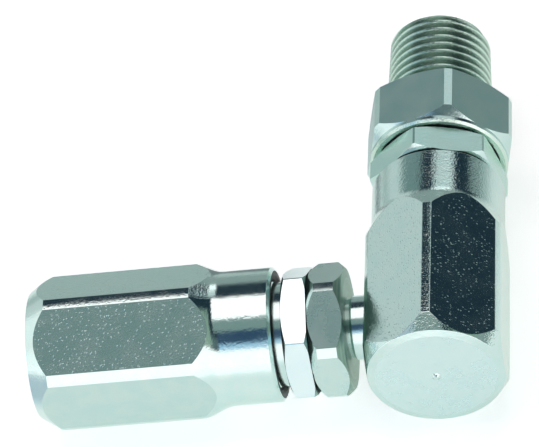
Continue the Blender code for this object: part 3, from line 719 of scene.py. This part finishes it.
def zinc(name, place, kind, finish, root_shaded=False):
    """Bright zinc plate with a blue-green cast, marked by the way the metal under it was cut."""
    material = bpy.data.materials.new(name)
    material.use_nodes = True
    nodes = Nodes(material.node_tree)
    position = swivel_position(nodes, place)
    stretch, mark_share = TOOL_MARKS[kind]
    grooves = position
    if kind == "faced":
        grooves = nodes.add("ShaderNodeCombineXYZ", None, axis_distance(nodes, position), 0.0, 0.0)
    streaks = nodes.add("ShaderNodeVectorMath", {"operation": "MULTIPLY"}, grooves, stretch)
    marks = nodes.noise(streaks, 1.0, 3.0)
    cloud = nodes.noise(position, CLOUD_SCALE, 4.0)
    peel = nodes.noise(position, PEEL_SCALE, 3.0)
    grain = nodes.noise(position, GRAIN_SCALE, 1.0, 0.5)
    pit_edge = nodes.add("ShaderNodeTexVoronoi", None, position, Scale=PIT_SCALE)
    cells = nodes.add("ShaderNodeTexVoronoi", None, position, Scale=PIT_SCALE, output=1)
    chosen = nodes.smooth(nodes.add("ShaderNodeSeparateColor", None, cells), *PIT_SHARE)
    pit = (1 - nodes.smooth(pit_edge, *PIT_RIMS)) * chosen
    tone = nodes.smooth(cloud, *TONE_RIMS)
    colour = nodes.mix(tone, tinted(COOL_ZINC, finish.tint), tinted(WARM_ZINC, finish.tint))
    if kind == "faced":
        colour = nodes.mix(nodes.smooth(marks, *TONE_RIMS) * SHEEN_SHARE, colour, FACED_SHEEN)
    # Darker colour deep in the thread's roots: painted shade of the grooves
    if root_shaded:
        depth = crest_depth(nodes, position)
        colour = nodes.mix(nodes.smooth(depth, *ROOT_SHADE_DEPTHS), colour, ROOT_SHADE_ZINC)
    relief = marks * mark_share + peel + grain * GRAIN_SHARE + pit * (PIT_HEIGHT * finish.pits)
    normal = nodes.add("ShaderNodeBump", None, Strength=1.0, Distance=finish.relief, Height=relief)
    shader = nodes.add("ShaderNodeBsdfPrincipled", None, Base_Color=colour, Metallic=1.0,
                       Roughness=finish.roughness + ROUGHNESS_SPREAD * tone, Normal=normal)
    nodes.add("ShaderNodeOutputMaterial", None, shader)
    return material


def inner_material(name, dark, light, metallic, roughness, scale, relief_depth):
    """A plain matter of the inner pieces, mottled at its own scale in marks per millimetre."""
    material = bpy.data.materials.new(name)
    material.use_nodes = True
    nodes = Nodes(material.node_tree)
    position = nodes.add("ShaderNodeVectorMath", {"operation": "SCALE"}, nodes.object_place(),
                         Scale=METRES_TO_MM)
    mottle = nodes.noise(position, scale, 3.0)
    fine = nodes.noise(position, scale * FINE_SCALE, 2.0, 0.5)
    tone = nodes.smooth(mottle, *TONE_RIMS)
    normal = nodes.add("ShaderNodeBump", None, Strength=1.0, Distance=relief_depth,
                       Height=mottle + fine * FINE_SHARE)
    shader = nodes.add("ShaderNodeBsdfPrincipled", None, Metallic=metallic, Normal=normal,
                       Base_Color=nodes.mix(tone, (*dark, 1.0), (*light, 1.0)),
                       Roughness=roughness + INNER_SPREAD * tone)
    nodes.add("ShaderNodeOutputMaterial", None, shader)
    return material


def zinc_set(piece, place, root_shaded=False):
    """The finishes of one piece, in the order of its slots: turned, milled, one more kind, and the dark steel
    that paints the shade in gaps.
    """
    finishes = [zinc(f"{piece}_{kind}_zinc", place, kind, finish, root_shaded and kind == "threaded")
                for kind, finish in FINISHES[piece].items()]
    return finishes + [GAP_SHADE_STEEL]


def make_camera():
    data = bpy.data.cameras.new("camera")
    data.sensor_width = SENSOR_WIDTH
    data.lens = CAMERA_FOCUS_PIXELS * SENSOR_WIDTH / PHOTO_WIDTH
    data.clip_start, data.clip_end = CAMERA_REACH
    camera = bpy.data.objects.new("camera", data)
    axes = Matrix((CAMERA_RIGHT, CAMERA_UP, CAMERA_BACK)).transposed().to_4x4()
    camera.matrix_world = Matrix.Translation(Vector(CAMERA_PLACE) * MM) @ axes
    bpy.context.scene.collection.objects.link(camera)
    bpy.context.scene.camera = camera


# Floor: its paint, and the glow with which the camera and the metal see it
FLOOR_HALF_SIZE = 6.0
WHITE_PAINT = (0.96, 0.98, 1.00, 1.0)
FAR_PAINT = (0.50, 0.54, 0.53, 1.0)
SHADE_PAINT = (0.26, 0.28, 0.28, 1.0)
SEEN_GLOW = (0.550, 0.530, 0.525, 1.0)
NEAR_GLOW = (0.39, 0.40, 0.36, 1.0)
AHEAD_GLOW = (0.85, 0.80, 0.80, 1.0)
# Glow of the painted shade on the floor beyond the inlet's open end
LEFT_GLOW = (0.02, 0.08, 0.14, 1.0)
FAR_GLOW = (0.17, 0.22, 0.20, 1.0)
SHADE_GLOW = (0.07, 0.09, 0.09, 1.0)

# Zones of the floor in metres, each from rim to rim
FAR_ZONE = (-0.010, 0.080)
AHEAD_ZONE = (0.045, 0.110)
# Rims of the painted shadow in the corner of the two arms
CORNER_ACROSS = (-0.018, -0.005)
CORNER_SLANT = 0.12
CORNER_START = (0.006, 0.014)
CORNER_RIM = 0.003
LEFT_END = (-0.046, -0.034)
LEFT_ALONG = (-0.060, -0.012)
LEFT_RIM = 0.008


def make_floor():
    """White table. The metal sees it dim behind the object, and dark with a painted shadow in the corner of
    the two arms and painted shade beyond the inlet's open end.
    """
    bm = bmesh.new()
    bmesh.ops.create_grid(bm, x_segments=1, y_segments=1, size=FLOOR_HALF_SIZE)
    mesh = bpy.data.meshes.new("floor")
    bm.to_mesh(mesh)
    bm.free()
    floor = bpy.data.objects.new("floor", mesh)
    bpy.context.scene.collection.objects.link(floor)
    material = bpy.data.materials.new("floor_white")
    material.use_nodes = True
    nodes = Nodes(material.node_tree)
    x, y, _ = nodes.axes(nodes.object_place())
    far = nodes.smooth(y, *FAR_ZONE)
    ahead = nodes.smooth(y * -1.0, *AHEAD_ZONE)
    # Painted shadow of the elbow on the floor, in the corner of the two arms, which only the metal's
    # reflections see
    across = nodes.between(x - y * CORNER_SLANT, CORNER_ACROSS, CORNER_RIM)
    corner = across * nodes.smooth(y, *CORNER_START)
    # Painted shade on the floor beyond the inlet's open end, seen only in the metal's reflections
    left = (1 - nodes.smooth(x, *LEFT_END)) * nodes.between(y, LEFT_ALONG, LEFT_RIM)
    camera, glossy, clear = (nodes.add("ShaderNodeLightPath", None, output=ray) for ray in (0, 3, 6))
    seen = camera.math("MAXIMUM", camera.math("MAXIMUM", camera, glossy), clear)
    painted = nodes.mix(corner * glossy, nodes.mix(far * glossy, WHITE_PAINT, FAR_PAINT), SHADE_PAINT)
    near = nodes.mix(left, nodes.mix(ahead, NEAR_GLOW, AHEAD_GLOW), LEFT_GLOW)
    mirrored = nodes.mix(corner, nodes.mix(far, near, FAR_GLOW), SHADE_GLOW)
    paint = nodes.add("ShaderNodeBsdfDiffuse", None, painted)
    glow = nodes.add("ShaderNodeEmission", None, nodes.mix(glossy, SEEN_GLOW, mirrored), seen)
    shader = nodes.add("ShaderNodeAddShader", None, paint, glow)
    nodes.add("ShaderNodeOutputMaterial", None, shader)
    mesh.materials.append(material)


# Wall panels: behind (1) or in front (-1), bearing to +X and height in degrees, soft rim, light
WALL_PANELS = (
    ("left_back_dim", 1, (-46, -21), (20, 46), 4, (0.205, 0.290, 0.290)),
    ("left", 1, (-92, -56), (-30, 28), 5, (1.05, 1.08, 1.08)),
    ("left_back", 1, (-92, -20), (-30, 28), 6, (0.66, 0.72, 0.72)),
    ("back", 1, (-18, 26), (-30, 25), 6, (0.32, 0.38, 0.37)),
    ("right_back", 1, (43, 120), (-30, 22), 3, (0.32, 0.39, 0.38)),
    ("front", -1, (-20, 62), (-40, 29), 3, (1.50, 1.40, 1.42)),
    ("front_fringe", -1, (-60, -4), (20, 39), 4, (0.50, 0.74, 0.98)),
    ("front_navy", -1, (-60, -4), (30, 62), 4, (0.04, 0.08, 0.15)),
    ("front_dim", -1, (-4, 45), (20, 52), 5, (0.11, 0.16, 0.17)),
    ("left_front", -1, (-100, -32), (-30, 30), 5, (1.20, 1.20, 1.22)),
)
# Ceiling panels: rims towards +X and towards +Y as shares of the height, soft rim, light
CEILING_PANELS = (
    ("ceiling", (-0.55, 0.32), (-0.55, -0.08), 0.03, (0.25, 0.33, 0.32)),
    ("ceiling_left", (-2.50, -0.50), (-1.00, 0.20), 0.06, (0.55, 0.62, 0.72)),
    ("ceiling_right", (0.62, 2.50), (-1.20, 0.30), 0.08, (0.30, 0.41, 0.34)),
    ("overhead", (-0.55, 0.32), (-0.12, 0.67), 0.03, (1.62, 1.45, 1.46)),
    ("overhead_right", (0.00, 0.66), (0.80, 1.45), 0.06, (0.68, 0.76, 0.77)),
    ("overhead_back", (-0.06, 0.68), (1.32, 2.20), 0.08, (1.35, 1.35, 1.35)),
)
DARK_ROOM = (0.015, 0.032, 0.048, 1.0)
WHITE = (1.0, 1.0, 1.0, 1.0)
LOWEST_SLOPE = 0.02


def make_world():
    """Studio of soft panels in a dark room, which the camera sees as plain white."""
    world = bpy.data.worlds.new("studio")
    world.use_nodes = True
    bpy.context.scene.world = world
    nodes = Nodes(world.node_tree)
    x, y, z = nodes.axes(nodes.add("ShaderNodeTexCoord", None, output=0))
    degrees = math.degrees(1.0)
    height = z.math("ARCSINE", z) * degrees
    bearing = {side: x.math("ARCTAN2", x, y * side) * degrees for side in (1, -1)}
    above = z.math("MAXIMUM", z, LOWEST_SLOPE)
    lean_x, lean_y = (way.math("DIVIDE", way, above) for way in (x, y))
    colour = DARK_ROOM
    for _, side, across, up, soft, light in reversed(WALL_PANELS):
        inside = nodes.between(bearing[side], across, soft) * nodes.between(height, up, soft)
        colour = nodes.mix(inside, colour, (*light, 1.0))
    for _, across, along, soft, light in CEILING_PANELS:
        inside = nodes.between(lean_x, across, soft) * nodes.between(lean_y, along, soft)
        colour = nodes.mix(inside, colour, (*light, 1.0))
    studio = nodes.add("ShaderNodeBackground", None, colour, 1.0)
    backdrop = nodes.add("ShaderNodeBackground", None, WHITE, 1.0)
    camera = nodes.add("ShaderNodeLightPath", None, output=0)
    shader = nodes.add("ShaderNodeMixShader", None, camera, studio, backdrop)
    nodes.add("ShaderNodeOutputWorld", None, shader)


def dress_inner_pieces():
    """Give each CAD node that stays its own matter."""
    for word, settings in INNER_MATTER.items():
        matter = inner_material(*settings)
        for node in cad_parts:
            if word in node:
                for slot in bpy.data.objects[node].material_slots:
                    slot.material = matter


make_camera()
make_floor()
make_world()
GAP_SHADE_STEEL = inner_material(*GAP_SHADE_MATTER)
elbow = shown(elbow_mesh, "elbow_barrel", "elbow", "elbow_body", OUTLET_PLACE,
              zinc_set("elbow", OUTLET_PLACE))
drill_port(elbow)
shown(lambda bm: gland_mesh(bm, OUTLET_GLAND), "outlet_gland", "elbow", "elbow_gland_nut", OUTLET_PLACE,
      zinc_set("outlet_gland", OUTLET_PLACE))
shown(outlet_stem_mesh, "outlet_thread_stem", "outlet", "outlet_stem", OUTLET_PLACE,
      zinc_set("outlet_stem", OUTLET_PLACE, root_shaded=True))
shown(link_stem_mesh, "link_hexagon_stem", "elbow", "link_stem", INLET_PLACE,
      zinc_set("link_stem", INLET_PLACE))
shown(inlet_mesh, "inlet_barrel", "inlet", "inlet_body", INLET_PLACE,
      zinc_set("inlet", INLET_PLACE))
shown(lambda bm: gland_mesh(bm, INLET_GLAND), "inlet_gland", "inlet", "inlet_gland_nut", INLET_PLACE,
      zinc_set("inlet_gland", INLET_PLACE))
dress_inner_pieces()

bpy.context.scene.view_settings.view_transform = "Standard"
